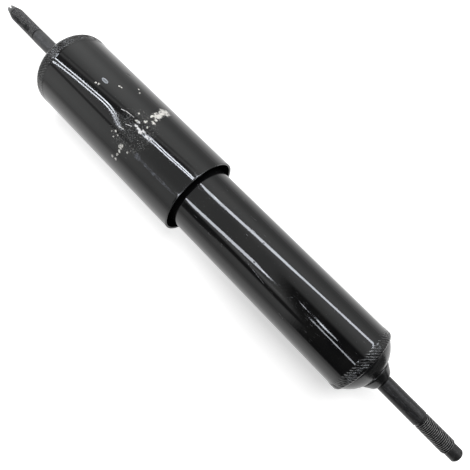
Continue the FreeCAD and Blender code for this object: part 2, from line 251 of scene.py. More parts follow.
def piece(name, body, slot, replaced, materials, *shapes, crease=None):
    # One finished object from bmeshes and meshes: seams merged, faces outwards, smooth but for
    # creases. It rides on its body in place of its CAD node.
    whole = bmesh.new()
    for shape in shapes:
        mesh = meshed(shape) if isinstance(shape, bmesh.types.BMesh) else shape
        whole.from_mesh(mesh)
        bpy.data.meshes.remove(mesh)
    bmesh.ops.remove_doubles(whole, verts=whole.verts, dist=merge_gap)
    bmesh.ops.recalc_face_normals(whole, faces=whole.faces)
    mesh = meshed(whole, name)
    smoothed(mesh, crease or plain_crease)
    for material in materials:
        mesh.materials.append(material)
    made = added(name, mesh)
    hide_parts(replaced)
    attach(made, body)
    return made


def rule(name, *sizes):
    # A Geometry Nodes tree with a named input for each size: its geometry, sizes and finish
    tree = bpy.data.node_groups.new(name, "GeometryNodeTree")
    tree.interface.new_socket("Geometry", in_out="INPUT", socket_type="NodeSocketGeometry")
    for size in sizes:
        tree.interface.new_socket(size, in_out="INPUT", socket_type="NodeSocketFloat")
    tree.interface.new_socket("Finish", in_out="INPUT", socket_type="NodeSocketMaterial")
    tree.interface.new_socket("Geometry", in_out="OUTPUT", socket_type="NodeSocketGeometry")
    outputs = tree.nodes.new("NodeGroupInput").outputs
    return [Signal(outputs[name]) for name in ("Geometry", *sizes, "Finish")]


def closed_rule(geometry, material):
    # The end of every tree: instances made real and the finish put on. Returns the tree.
    real = geometry.node("GeometryNodeRealizeInstances", None, {"Geometry": geometry})
    done = real.node("GeometryNodeSetMaterial", None, {"Geometry": real, "Material": material})
    tree = done.socket.id_data
    tree.links.new(done.socket, tree.nodes.new("NodeGroupOutput").inputs[0])
    return tree


def formed(tree, material, base=None, **sizes):
    # The plain mesh that a tree makes, of a base mesh if it shapes one
    maker = added("maker", base or bpy.data.meshes.new("blank"))
    steps = maker.modifiers.new("form", "NODES")
    steps.node_group = tree
    values = {name.replace("_", " "): value for name, value in sizes.items()}
    values["Finish"] = material
    for socket in tree.interface.items_tree:
        if socket.in_out == "INPUT" and socket.name in values:
            steps[socket.identifier] = values[socket.name]
    seen = maker.evaluated_get(bpy.context.evaluated_depsgraph_get())
    mesh = bpy.data.meshes.new_from_object(seen)
    blank = maker.data
    bpy.data.objects.remove(maker)
    bpy.data.meshes.remove(blank)
    return mesh


def wound(shape, x, radius, angle):
    # Puts each point of a strip or curve at its place along the axis, radius and angle round it
    spot = {0: x, 1: radius * angle.cosine(), 2: radius * angle.sine()}
    spot = angle.node("ShaderNodeCombineXYZ", None, spot)
    return shape.node("GeometryNodeSetPosition", None, {"Geometry": shape, "Position": spot})


def thread_rule():
    # A strip that winds round the stem: 60 degree ridge, flat at crest and root. The slopes at
    # its two ends cut the crest down, and the run-out slopes lift the root, to plain rings.
    sizes = rule(
        "rolled_thread", "Start", "End", "Start Radius", "End Radius", "Start Slope", "End Slope",
        "Run Out", "Crest", "Depth", "Pitch",
    )
    _, start, end, start_r, end_r, start_slope, end_slope, run_out, crest, depth, pitch, material = sizes
    turns = start.math("CEIL", (end - start) / pitch + 2.0)
    cells = {"Size X": 1.0, "Size Y": 1.0, "Vertices X": ridge_points}
    cells["Vertices Y"] = turns * stem_around + 1.0
    strip = start.node("GeometryNodeMeshGrid", None, cells)
    across, along, _ = start.node("GeometryNodeInputPosition").axes()
    across = across + 0.5
    along = (along + 0.5) * turns
    x = (start - pitch + pitch * (across + along)).most(start).least(end)
    fall = ((abs(across * 2.0 - 1.0) - crest_flat) / flank_share).most(0.0).least(1.0)
    ridge = (crest - depth * fall).least(start_r + (x - start) * start_slope)
    ridge = ridge.least(end_r + (end - x) * end_slope)
    radius = ridge.most(start_r - (x - start) * run_out).most(end_r - (end - x) * run_out)
    thread = wound(strip, x, radius, along * (2 * math.pi))
    sockets = {"Geometry": thread, "Distance": merge_gap}
    return closed_rule(thread.node("GeometryNodeMergeByDistance", None, sockets), material)


def rolled(material, start, end, start_r, end_r, end_slope=1.0):
    # A thread between two places on a stem, which meets plain rings of the given radii there
    return formed(
        thread_tree, material, Start=start, End=end, Start_Radius=start_r, End_Radius=end_r,
        Start_Slope=1.0, End_Slope=end_slope, Run_Out=run_out_slope, Crest=crest_r,
        Depth=thread_depth, Pitch=thread_pitch,
    )


mm = 0.001
merge_gap = 0.002 * mm
plain_crease = 32.0
most_of_run = 0.45
long_run = 5.0 * mm
run_hold = 0.25 * mm
crystal_relief = 0.022 * mm
stem_around = 72
ridge_points = 17
crest_flat = 1 / 8
flank_share = 5 / 8
thread_pitch = 1.0 * mm
thread_depth = 0.613 * thread_pitch
run_out_slope = 0.35
thread_relief = 0.08 * mm
crest_wear_and_highlight = 0.25 * mm
neck_r = 4.55 * mm
neck_length = 1.6 * mm
dog_r = 4.15 * mm
dog_length = 6.3 * mm
stem_chamfer = 0.8 * mm
stem_edge = 0.2 * mm
collar_face_r = 7.2 * mm
collar_face = 1.5 * mm
collar_r = 10.3 * mm
collar_neck_r = 10.0 * mm
collar_cone = 6.1 * mm
collar_edge = 0.8 * mm
thread_black = (0.006, 0.006, 0.006)
stem_dark = (0.009, 0.009, 0.010)
stem_pale = (0.024, 0.023, 0.023)
stem_bare = (0.070, 0.069, 0.068)
# Pale thread crests: rubbed steel and a painted highlight
crest_bare_and_highlight = (0.46, 0.455, 0.45)

mounts = {mount["name"]: mount["dims"] for mount in frame["record"]["mounts"]}
stem_r = mounts["lower_stem"]["r_mm"] * mm
crest_r = stem_r - thread_relief
shank_half = mounts["lower_stem"]["length_mm"] * mm / 2
pin_low, pin_high = (corner.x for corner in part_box("lower_stem"))
dog_end = pin_low + dog_length
pin_neck = -shank_half - neck_length + crest_r - neck_r
black_phosphate = phosphate("black_phosphate", stem_dark, stem_pale, stem_bare)
# Its pale crests are rubbed steel and a painted highlight
black_thread = phosphate("black_thread", thread_black, stem_dark, crest_bare_and_highlight, crest_r)
thread_tree = thread_rule()
pin_thread = rolled(black_thread, dog_end, pin_neck, dog_r, neck_r)
dog_point = [
    (pin_low, 0.0),
    (pin_low, dog_r - stem_chamfer),
    (pin_low + stem_chamfer, dog_r),
    (dog_end, dog_r),
]
pin_shank = [
    (pin_neck, neck_r),
    (-shank_half - stem_r + neck_r, neck_r),
    (-shank_half, stem_r),
    (shank_half, stem_r),
]
pin_collar = [
    (shank_half, stem_r),
    (shank_half + collar_face, collar_face_r),
    (shank_half + collar_cone, collar_r),
    (pin_high, collar_neck_r),
    (pin_high, 0.0),
]


# Base cap: a pressed steel cup that closes the reserve tube, domed down to a flat where the
# stem's collar sits. It has the damper's sprayed and baked gloss black paint, as the collar has.
def gloss_black(name, wear=None):
    # Baked paint: a fine orange-peel skin, a little haze and a few dust specks under it
    material, place = finish(name, IOR=1.56)
    peel = place.noise(800.0, 3.0, 0.5)
    haze = place.noise(55.0, 4.0, 0.6).eased(0.40, 0.75)
    specks = place.noise(2600.0, 1.0).eased(0.74, 0.80)
    colour = haze.between(paint_black, paint_haze)
    roughness = 0.035 + haze * 0.04 + specks * 0.12
    height = peel + specks * 1.5
    if wear:
        colour, roughness, height = wear(place, colour, roughness, height)
    return coated(material, colour, roughness, height, peel_depth)


def cap_wear(place, colour, roughness, height):
    # Paint over press and heat marks: duller, with a wavy skin
    marks = place.noise(420.0, 4.0, 0.65)
    dust = place.noise(1500.0, 3.0, 0.7).eased(0.60, 0.74)
    colour = (dust * 0.5).between(colour, cap_dust)
    return colour, roughness + 0.10 + marks * 0.12 + dust * 0.15, height + marks * 3.0 + dust


def bend(centre, radius, start, end, steps=8):
    # Points of an arc in the half section; 0 degrees points outwards, 90 along the way it closes
    turns = [math.radians(start + (end - start) * i / steps) for i in range(steps + 1)]
    return [(centre[0] + radius * math.sin(t), centre[1] + radius * math.cos(t)) for t in turns]


def placed(outline, tube_end, facing):
    # An outline given as (depth beyond the tube's end, radius) put at that end
    return [(tube_end + facing * depth, radius) for depth, radius in outline]


def pressed_cap(inner_r, wall, bend_r, bend_end, dome_r, flat_r, hole_r, skirt, knee_depth):
    # Domed cup with a flat, from the flat's inner edge round the skirt to its outer edge
    knee = (knee_depth, inner_r - bend_r - wall)
    reach = dome_r - bend_r - wall
    turn = math.radians(bend_end)
    dome = (knee[0] - reach * math.sin(turn), knee[1] - reach * math.cos(turn))
    flat_turn = math.degrees(math.acos((flat_r - dome[1]) / dome_r))
    outside = bend(knee, bend_r + wall, 0.0, bend_end)
    outside = outside + bend(dome, dome_r, bend_end, flat_turn, dome_steps)[1:]
    floor_depth = outside[-1][0] - wall
    lining_r = dome_r - wall
    floor_turn = math.degrees(math.asin((floor_depth - dome[0]) / lining_r))
    inside = bend(dome, lining_r, floor_turn, bend_end, dome_steps)[:-1] + bend(knee, bend_r, bend_end, 0.0)
    skirt_ends = [(-skirt, inner_r - wall), (-skirt, inner_r)]
    return [(floor_depth, hole_r), *inside, *skirt_ends, *outside, (outside[-1][0], hole_r)]


paint_black = (0.0035, 0.0036, 0.0040)
paint_haze = (0.0070, 0.0070, 0.0068)
cap_dust = (0.045, 0.045, 0.043)
peel_depth = 0.008 * mm
dome_steps = 16
cap_around = 160
reserve_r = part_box("reserve_tube")[1].z
reserve_low, reserve_high = (corner.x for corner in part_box("reserve_tube"))
reserve_wall = 1.5 * mm
base_weld_width = reserve_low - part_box("base_weld")[0].x
base_weld_overhang = 2.0 * mm
base_cap_outline = pressed_cap(
    inner_r=reserve_r - reserve_wall, wall=2.5 * mm, bend_r=2.5 * mm, bend_end=36.0, dome_r=22.4 * mm,
    flat_r=11.0 * mm, hole_r=0.0, skirt=8.0 * mm, knee_depth=base_weld_width - base_weld_overhang,
)
gloss_paint = gloss_black("gloss_black_paint")
cap_paint = gloss_black("gloss_black_cap", cap_wear)
piece(
    "base_cap_shell", "damper_body", "gloss_black_paint", "base_cap", [cap_paint],
    turned(placed(base_cap_outline, reserve_low, -1), cap_around),
)
lower_pin = piece(
    "lower_stem_pin", "damper_body", "black_phosphate_steel", "lower_stem",
    [black_phosphate, black_thread, cap_paint],
    turned(softened(dog_point, stem_edge), stem_around),
    pin_thread,
    turned(softened(pin_shank, stem_edge), stem_around),
    turned(softened(pin_collar, collar_edge, steps=8), stem_around),
)
for face in lower_pin.data.polygons:
    if face.center.x > shank_half + stem_edge:
        face.material_index = 2
    elif dog_end < face.center.x < pin_neck:
        face.material_index = 1


# Base weld: the seam that joins the tube to the cap, laid in one turn while the damper spins.
# Each pulse of the torch leaves a round ripple, slanted because the tube runs on under it. Painted.
def ripple_height(spot, pulses, slant, uneven, toe, radius):
    # 1 on the back of each ripple and 0 in the valley between two, for a place on the bead
    x, y, z = spot.axes()
    turn = y.math("ARCTAN2", y * -1.0, z)
    stray = spot.noise(320.0, 2.0) - 0.5
    return abs(((turn + (x - toe) * slant / radius) * pulses * 0.5 + stray * uneven).sine())


def weld_rule():
    # Sinks valleys into a plain bead, one for each pulse, slanted and a little uneven. At the toe
    # the ripples end in round lobes.
    sizes = rule("weld_ripples", "Pulses", "Slant", "Depth", "Lobe", "Unevenness", "Toe", "Radius")
    bead, pulses, slant, depth, lobe, uneven, toe, radius, material = sizes
    spot = bead.node("GeometryNodeInputPosition")
    x, y, z = spot.axes()
    _, out_y, out_z = bead.node("GeometryNodeInputNormal").axes()
    facing = (out_y * y + out_z * z) / radius
    valley = 1.0 - ripple_height(spot, pulses, slant, uneven, toe, radius)
    strength = faint_ripple + spot.noise(260.0, 2.0).eased(0.34, 0.62) * (1.0 - faint_ripple)
    from_toe = abs(x - toe)
    sunk = depth * valley * strength * facing.eased(*facing_out) * from_toe.eased(*ripple_start)
    drawn_in = lobe * valley * from_toe.eased(*lobe_start) * from_toe.eased(*lobe_end)
    drawn_in = drawn_in * x.math("SIGN", x - toe)
    shift = {0: drawn_in, 1: sunk * out_y * -1.0, 2: sunk * out_z * -1.0}
    shift = sunk.node("ShaderNodeCombineXYZ", None, shift)
    rippled = bead.node("GeometryNodeSetPosition", None, {"Geometry": bead, "Offset": shift})
    return closed_rule(rippled, material)


def bead_outline(tube_r, wall, width, overhang, knee_r, corner_r, corner_end):
    # Half section of a seam bead that rises softly from the tube, divided finely for the ripples
    inner_r = tube_r - wall
    crown_r = tube_r + weld_proud
    corner = (width - corner_r * math.sin(math.radians(corner_end)), crown_r - corner_r)
    knee = (width - overhang, inner_r - knee_r)
    root = math.degrees(math.asin(overhang / knee_r))
    outline = [(0.0, inner_r)]
    for i in range(rise_steps):
        lift = weld_proud * (1 - math.cos(math.pi * i / rise_steps)) / 2
        outline.append((weld_toe * i / rise_steps, tube_r + lift))
    for i in range(crown_steps):
        outline.append((weld_toe + (corner[0] - weld_toe) * i / crown_steps, crown_r))
    outline = outline + bend(corner, corner_r, 0.0, corner_end, steps=12)
    return outline + bend(knee, knee_r, root, 0.0, steps=4)


def weld_wear_and_glints(pulses, toe, radius, worn_and_glinting):
    # Paint worn off the ripples, most where their lobes stand at the toe, in patches elsewhere; the pale
    # steel is also a painted glint
    def wear(place, colour, roughness, height):
        x, _, _ = place.axes()
        back = ripple_height(place, pulses, ripple_slant, unevenness, toe, radius).eased(0.80, 0.98)
        from_toe = abs(x - toe)
        at_toe = from_toe.eased(*stitch_start) * from_toe.eased(*stitch_end)
        at_toe = at_toe * place.noise(170.0, 3.0, 0.6).eased(0.44, 0.66)
        patches = place.noise(120.0, 3.0, 0.6).eased(0.52, 0.70) * from_toe.eased(*patches_end)
        # The bare steel on the ripple backs is also a painted glint
        bare_and_glint = back * at_toe.most(patches * 0.5) * worn_and_glinting
        return bare_and_glint.between(colour, weld_bare_and_glint), roughness + bare_and_glint * 0.3, height
    return wear


def plain(shape):
    # The mesh of a finished bmesh, with its faces outwards
    bmesh.ops.recalc_face_normals(shape, faces=shape.faces)
    return meshed(shape)


def seam(name, body, replaced, outline, tube_end, facing, tube_r, worn_and_glinting):
    # A seam weld round a tube's end: its bead, the ripples in it, and its paint
    pulses = round(2 * math.pi * tube_r / ripple_pitch)
    bead = plain(turned(placed(outline, tube_end, facing), pulses * steps_per_ripple, closed=True))
    paint_name = "gloss_black_" + name.removesuffix("_bead")
    paint = gloss_black(paint_name, weld_wear_and_glints(pulses, tube_end, tube_r, worn_and_glinting))
    rippled = formed(
        weld_tree, paint, bead, Pulses=pulses, Slant=ripple_slant, Depth=ripple_depth, Lobe=ripple_lobe,
        Unevenness=unevenness, Toe=tube_end, Radius=tube_r,
    )
    piece(name, body, "gloss_black_paint", replaced, [paint], rippled, crease=weld_crease)


weld_proud = 0.2 * mm
weld_toe = 2.2 * mm
weld_crease = 70.0
# Pale steel where paint is worn, which is also a painted glint
weld_bare_and_glint = (0.24, 0.245, 0.25)
rise_steps = 8
crown_steps = 14
ripple_pitch = 2.1 * mm
ripple_depth = 0.40 * mm
ripple_slant = 1.0
ripple_lobe = 0.5 * mm
unevenness = 1.9
faint_ripple = 0.12
steps_per_ripple = 14
# Where ripples, lobes and worn places, which are also painted glints, start and end, from the toe
ripple_start = (0.9 * mm, 2.6 * mm)
lobe_start = (0.4 * mm, 1.4 * mm)
lobe_end = (3.6 * mm, 2.0 * mm)
stitch_start = (0.7 * mm, 1.1 * mm)
stitch_end = (2.3 * mm, 1.7 * mm)
patches_end = (5.5 * mm, 4.0 * mm)
facing_out = (0.45, 0.85)
weld_tree = weld_rule()
base_bead = bead_outline(
    reserve_r, reserve_wall, base_weld_width, base_weld_overhang,
    knee_r=5.0 * mm, corner_r=1.9 * mm, corner_end=80.0,
)
seam("base_weld_bead", "damper_body", "base_weld", base_bead, reserve_low, -1, reserve_r, worn_and_glinting=1.0)


# Reserve tube: drawn steel tube that holds the oil, its top rolled in over the seal pack. Gloss
# black, handled: hairline scratches along it, and one long one low on its side.
def unrolled(place, radius):
    # The tube's skin laid flat: along the axis, round from the top towards -Y, and the two together
    x, y, z = place.axes()
    around = y.math("ARCTAN2", y * -1.0, z) * radius
    return x, around, x.node("ShaderNodeCombineXYZ", None, {0: x, 1: around})


def skin_place(radius, along, degrees):
    # A place on the skin from mm along the axis and degrees from +Y over the top
    return Vector((along * mm, radius * math.radians(degrees - 90.0)))


def spots_mask(x, around, radius, spots, ragged):
    # 1 inside any of the oval spots on the skin, which have ragged edges
    found = None
    for along, degrees, length, width in spots:
        middle = skin_place(radius, along, degrees)
        along_part = (x - middle.x) / (length * mm / 2)
        round_part = (around - middle.y) / (width * mm / 2)
        spot = (along_part * along_part + round_part * round_part + ragged).eased(1.0, 0.75)
        found = found.most(spot) if found else spot
    return found


def scratches_mask(x, around, radius, scratches):
    # 1 along any of the straight scratches, which fade out at their ends
    found = None
    for start, end, width in scratches:
        first = skin_place(radius, *start)
        last = skin_place(radius, *end)
        length = (last - first).length
        way = (last - first) / length
        along = ((x - first.x) * way.x + (around - first.y) * way.y) / length
        across = abs((x - first.x) * way.y - (around - first.y) * way.x)
        scratch = across.eased(width * mm / 2, width * mm / 4)
        scratch = scratch * along.eased(0.0, 0.12) * along.eased(1.0, 0.88)
        found = found.most(scratch) if found else scratch
    return found


def drawn_out(skin, degrees, stretch):
    # The skin turned and drawn out, so that a noise on it makes scratches that run that way
    sockets = {"Vector": skin, "Rotation": (0.0, 0.0, math.radians(degrees)), "Scale": (stretch, 1.0, 1.0)}
    return skin.node("ShaderNodeMapping", {"vector_type": "TEXTURE"}, sockets)


def tube_wear(place, colour, roughness, height):
    x, around, skin = unrolled(place, reserve_r)
    hairs = drawn_out(skin, 0.0, 20.0).noise(3300.0, 1.0).eased(0.70, 0.76)
    hairs = hairs * skin.noise(45.0, 2.0).eased(0.52, 0.66)
    breaks = skin.noise(900.0, 2.0).eased(0.30, 0.48)
    hairs = hairs.most(scratches_mask(x, around, reserve_r, tube_scratches) * breaks)
    nicks = spots_mask(x, around, reserve_r, tube_nicks, 0.0)
    colour = hairs.between(colour, scratch_grey)
    return colour, roughness + hairs * 0.30 + nicks * 0.22, height - hairs * 2.0 - nicks


# Each scratch: its two ends, as mm along the axis and degrees from +Y over the top, and its width in mm
tube_scratches = [
    ((114.0, 61.6), (97.8, 56.5), 0.45),
    ((82.0, 40.0), (76.5, 37.0), 0.30),
    ((132.0, 116.0), (127.0, 117.5), 0.30),
    ((150.0, 48.0), (146.5, 50.0), 0.30),
]
# Each nick in the paint: mm along the axis, degrees from +Y over the top, length and width in mm
tube_nicks = [
    (114.9, 98.2, 1.1, 1.3),
    (111.0, 69.0, 1.3, 1.1),
]
scratch_grey = (0.075, 0.076, 0.080)
reserve_around = 320
roll_r = 3.1 * mm
roll_lip = 4.0 * mm
roll_steps = 10
roll_centre = (reserve_high - roll_r, reserve_r - roll_r)
reserve_outline = [
    (reserve_low, reserve_r - reserve_wall),
    (reserve_low, reserve_r),
    *bend(roll_centre, roll_r, 0.0, 90.0, roll_steps),
    (reserve_high, reserve_r - roll_r - roll_lip),
    (reserve_high - reserve_wall, reserve_r - roll_r - roll_lip),
    *bend(roll_centre, roll_r - reserve_wall, 90.0, 0.0, roll_steps),
]
piece(
    "reserve_tube_shell", "damper_body", "gloss_black_paint", "reserve_tube",
    [gloss_black("gloss_black_tube", tube_wear)],
    turned(reserve_outline, reserve_around, closed=True),
)


# Foot valve and pressure tube: a seamless honed tube stands on a sintered foot. A riveted pin
# holds the valve's spring plate and disc, and a light spring holds the intake plate shut.
def machined(name, colour, sheen, pitch, relief):
    # Turned or honed steel: fine tool rings round the axis, soft oil marks
    material, place = finish(name, Metallic=1.0)
    x, _, _ = place.axes()
    rings = ((x + place.off_axis()) * (2 * math.pi / pitch) + place.noise(90.0, 2.0) * 3.0).sine()
    oil = place.noise(120.0, 4.0, 0.6)
    grit = place.noise(4200.0, 3.0, 0.6)
    shade = tuple(c * 0.62 for c in colour)
    colour = (oil * 0.7 + grit * 0.3).eased(0.25, 0.75).between(shade, colour)
    roughness = sheen + (oil - 0.5) * 0.16 + rings * 0.03
    return coated(material, colour, roughness, rings * 0.5 + grit * 0.5, relief)


def pressed_powder(name, dark, pale, metal):
    # Sintered metal or moulded compound: open pores between grains
    material, place = finish(name, Metallic=metal)
    grains = place.noise(2300.0, 5.0, 0.7)
    pores = place.node("ShaderNodeTexVoronoi", None, {"Vector": place, "Scale": 1900.0}).eased(0.16, 0.30)
    colour = (grains.eased(0.3, 0.7) * pores).between(dark, pale)
    roughness = 0.62 - pores * 0.14 + (grains - 0.5) * 0.2
    return coated(material, colour, roughness, grains * 0.5 + pores, pore_depth)


def dress(material, *names):
    # A finish for CAD nodes that stay as they are
    for name in names:
        for slot in frame["nodes"][name].material_slots:
            slot.material = material


def round_wire(path, wire, sides, capped):
    # Round wire drawn along a path
    section = {"Resolution": sides, "Radius": wire / 2.0}
    section = path.node("GeometryNodeCurvePrimitiveCircle", None, section)
    sockets = {"Curve": path, "Profile Curve": section, "Fill Caps": capped}
    return path.node("GeometryNodeCurveToMesh", None, sockets)


def spring_rule():
    # Round wire wound at an even pitch about the axis, with cut ends
    sizes = rule("wound_spring", "Start", "Rise", "Mean Radius", "Wire", "Turns")
    _, start, rise, mean_r, wire, turns, material = sizes
    path = start.node("GeometryNodeCurvePrimitiveLine", None, {"End": (1.0, 0.0, 0.0)})
    sockets = {"Curve": path, "Count": turns * steps_per_coil + 1.0}
    path = path.node("GeometryNodeResampleCurve", None, sockets)
    share = path.node("GeometryNodeSplineParameter")
    path = wound(path, start + rise * share, mean_r, share * turns * (2 * math.pi))
    return closed_rule(round_wire(path, wire, wire_sides, capped=True), material)


def spring(node, body, wire, turns):
    # A valve spring in its CAD node's place
    low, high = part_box(node)
    length = high.x - low.x
    coil = formed(
        spring_tree, spring_steel, Start=low.x + wire / 2, Rise=length - wire,
        Mean_Radius=high.y - wire / 2, Wire=wire, Turns=turns,
    )
    made = piece(node + "_wire", body, "spring_steel", node, [spring_steel], coil)
    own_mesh(made)


pore_depth = 0.04 * mm
steps_per_coil = 48.0
wire_sides = 14
wire_light = 0.7 * mm
wire_heavy = 1.6 * mm
bright_steel = machined(
    "bright_steel", (0.56, 0.55, 0.53), sheen=0.30, pitch=0.22 * mm, relief=0.0035 * mm
)
spring_steel = machined(
    "spring_steel", (0.22, 0.21, 0.20), sheen=0.36, pitch=0.60 * mm, relief=0.0030 * mm
)
sintered_iron = pressed_powder("sintered_iron", (0.045, 0.043, 0.040), (0.19, 0.18, 0.17), metal=0.8)
spring_tree = spring_rule()
dress(bright_steel, "pressure_tube", "base_valve_pin", "base_valve_retainer")
dress(bright_steel, "base_check_plate", "compression_disc")
dress(sintered_iron, "base_valve_body")
spring(
    "compression_spring", "damper_body", wire_light,
    turns=3.0,
)
spring(
    "base_check_spring", "damper_body", wire_light,
    turns=2.0,
)


# Rod guide and seal pack: a sintered guide with a bronze bush and an O-ring in the tube, a rubber
# seal with its garter spring above it, and a steel cap that the tube's rolled top holds down.
def moulded(name, dark, pale):
    # Moulded rubber: dull, with a fine mould grain and a waxy bloom
    material, place = finish(name, IOR=1.5)
    grain = place.noise(3800.0, 3.0, 0.6)
    bloom = place.noise(160.0, 4.0, 0.6).eased(0.45, 0.8)
    colour = (bloom * 0.7 + grain * 0.3).between(dark, pale)
    return coated(material, colour, 0.50 + bloom * 0.2 + grain * 0.1, grain, grain_depth)


def garter_rule():
    # Fine wire coiled round a ring, its two ends hooked into each other
    sizes = rule("garter", "Ring Radius", "Coil Radius", "Wire", "Turns", "Place")
    _, ring_r, coil_r, wire, turns, x, material = sizes
    path = x.node("GeometryNodeCurvePrimitiveCircle", None, {"Resolution": garter_steps, "Radius": 1.0})
    angle = path.node("GeometryNodeSplineParameter") * (2 * math.pi)
    twist = angle * turns
    path = wound(path, x + coil_r * twist.sine(), ring_r + coil_r * twist.cosine(), angle)
    return closed_rule(round_wire(path, wire, garter_sides, capped=False), material)


grain_depth = 0.02 * mm
seal_rubber = moulded("seal_rubber", (0.010, 0.010, 0.011), (0.030, 0.030, 0.031))
bush_bronze = pressed_powder("bush_bronze", (0.17, 0.10, 0.045), (0.52, 0.33, 0.15), metal=1.0)
garter_wire = 0.34 * mm
garter_turns = 110
garter_steps = 12 * garter_turns
garter_sides = 6
garter_low, garter_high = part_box("garter_spring")
garter_section = garter_high.x - garter_low.x
dress(sintered_iron, "rod_guide")
dress(bush_bronze, "guide_bush")
dress(seal_rubber, "guide_o_ring", "rod_seal")
dress(bright_steel, "seal_cap")
garter = formed(
    garter_rule(), spring_steel, Ring_Radius=garter_high.y - garter_section / 2,
    Coil_Radius=(garter_section - garter_wire) / 2, Wire=garter_wire, Turns=garter_turns,
    Place=(garter_low.x + garter_high.x) / 2,
)
piece("garter_spring_wire", "damper_body", "spring_steel", "garter_spring", [spring_steel], garter)


# Piston and rebound valve: a sintered piston with two rings of ports and a slit ring, clamped to
# the rod's tenon by a flanged nut. The nut's neck guides the rebound disc, its seat and its spring.
ring_compound = pressed_powder("ring_compound", (0.030, 0.024, 0.018), (0.10, 0.082, 0.060), metal=0.0)
dress(sintered_iron, "piston")
dress(ring_compound, "piston_ring")
dress(bright_steel, "stop_washer", "piston_nut", "piston_check_plate")
dress(bright_steel, "rebound_disc", "rebound_spring_seat")
dress(seal_rubber, "rebound_bumper")
spring(
    "piston_check_spring", "rod_assembly", wire_light,
    turns=2.0,
)
spring(
    "rebound_spring", "rod_assembly", wire_heavy,
    turns=4.0,
)


# Piston rod: ground and hard-chromed bar with a tenon below. Its upper stem is left grey from
# phosphating and has a rolled thread and a tapered tip, slotted to hold it while the nut turns.
def ground_chrome(name):
    # Hard chrome over a ground bar: bright, with faint grinding lines round it and oil film
    material, place = finish(name, Metallic=1.0)
    lines = place.scaled(1.0, 0.05, 0.05).noise(5200.0, 3.0)
    film = place.noise(70.0, 4.0, 0.6)
    colour = film.between((0.52, 0.53, 0.55), (0.66, 0.67, 0.68))
    return coated(material, colour, 0.08 + film * 0.10 + lines * 0.05, lines, grinding_depth)


def frayed(skin):
    # An uneven signal about 0 that makes the edges of spots ragged
    return skin.noise(650.0, 6.0, 0.85) - 0.5


def oil_stain_and_shade(place, colour):
    # Oil and dirt dried on one side of the stem, also painted shade on that side, and its tip rubbed bright
    x, around, skin = unrolled(place, stem_r)
    fray = frayed(skin)
    stain_and_shade = spots_mask(x, around, stem_r, stain_and_shade_spots, fray * 5.0)
    colour = (stain_and_shade * 0.7).between(colour, stain_and_shade_black)
    pale_marks = x.eased(rod_high - rubbed_tip[0], rod_high - rubbed_tip[1]) * (fray + 0.5).eased(0.36, 0.56)
    return (pale_marks * 0.8).between(colour, tip_bare)


# Each stain, also painted shade on the stem's darker side: mm along the axis, degrees from +Y over the top,
# length and width in mm
stain_and_shade_spots = [
    (358.2, 42.0, 13.0, 3.6),
    (347.8, 53.0, 8.0, 4.2),
]
stain_and_shade_black = (0.005, 0.005, 0.006)
tip_bare = (0.26, 0.27, 0.265)
rubbed_tip = (5.0 * mm, 1.5 * mm)
grinding_depth = 0.0016 * mm
rod_low, rod_high = (corner.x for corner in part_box("piston_rod"))
cover_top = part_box("dust_cover_cap")[1].x
rod_r = 6.0 * mm
tenon_r = 4.0 * mm
pilot_r = 5.4 * mm
pilot_length = 2.0 * mm
tip_r = 2.7 * mm
tip_length = 8.1 * mm
tip_slot_width = 1.3 * mm
tip_slot_depth = 3.6 * mm
rod_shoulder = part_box("stop_washer")[1].x
shank_high = cover_top + mounts["upper_stem"]["length_mm"] * mm
neck_high = shank_high + neck_length - crest_r + neck_r
taper_slope = (crest_r - tip_r) / tip_length
root_r = crest_r - thread_depth
thread_end = rod_high - tip_length + thread_depth / taper_slope
# Grey stem and thread, with a stain that is also painted shade on one side
grey_phosphate = phosphate(
    "grey_phosphate", (0.032, 0.032, 0.034), (0.063, 0.063, 0.066), (0.13, 0.13, 0.135), stained_and_shaded=oil_stain_and_shade
)
# Its pale crests are rubbed steel and a painted highlight
grey_thread = phosphate(
    "grey_thread", (0.010, 0.010, 0.011), (0.034, 0.034, 0.036), (0.46, 0.46, 0.465), crest_r, oil_stain_and_shade
)
rod_outline = [
    (rod_low, 0.0),
    (rod_low, tenon_r - stem_chamfer),
    (rod_low + stem_chamfer, tenon_r),
    (rod_shoulder, tenon_r),
    (rod_shoulder, rod_r),
    (cover_top - pilot_length, rod_r),
    (cover_top - pilot_length, pilot_r),
    (cover_top, pilot_r),
    (cover_top, stem_r),
    (shank_high, stem_r),
    (shank_high + stem_r - neck_r, neck_r),
    (neck_high, neck_r),
]
rod_thread = rolled(grey_thread, neck_high, thread_end, neck_r, root_r, taper_slope)
tip_outline = [(thread_end, root_r), (rod_high, tip_r), (rod_high, 0.0)]
rod = piece(
    "piston_rod_bar", "rod_assembly", "hard_chrome", "piston_rod",
    [ground_chrome("hard_chrome"), grey_phosphate, grey_thread, black_phosphate],
    turned(softened(rod_outline, stem_edge), stem_around),
    rod_thread,
    turned(softened(tip_outline, 2 * stem_edge), stem_around),
)
slot_size = Matrix.Diagonal((2 * tip_slot_depth, tip_slot_width, 4 * stem_r, 1.0))
cutter_shape = bmesh.new()
bmesh.ops.create_cube(cutter_shape, matrix=Matrix.Translation((rod_high, 0, 0)) @ slot_size)
cutter = added("slot_cutter", plain(cutter_shape))
slot_cut = rod.modifiers.new("slot", "BOOLEAN")
slot_cut.operation = "DIFFERENCE"
slot_cut.solver = "EXACT"
slot_cut.object = cutter
slotted = bpy.data.meshes.new_from_object(rod.evaluated_get(bpy.context.evaluated_depsgraph_get()))
rod.modifiers.clear()
rod.data = slotted
bpy.data.objects.remove(cutter)
smoothed(slotted, plain_crease)
for face in slotted.polygons:
    if shank_high < face.center.x < neck_high:
        face.material_index = 3
    elif neck_high < face.center.x < thread_end:
        face.material_index = 2
    else:
        face.material_index = int(face.center.x > cover_top - pilot_length / 2)
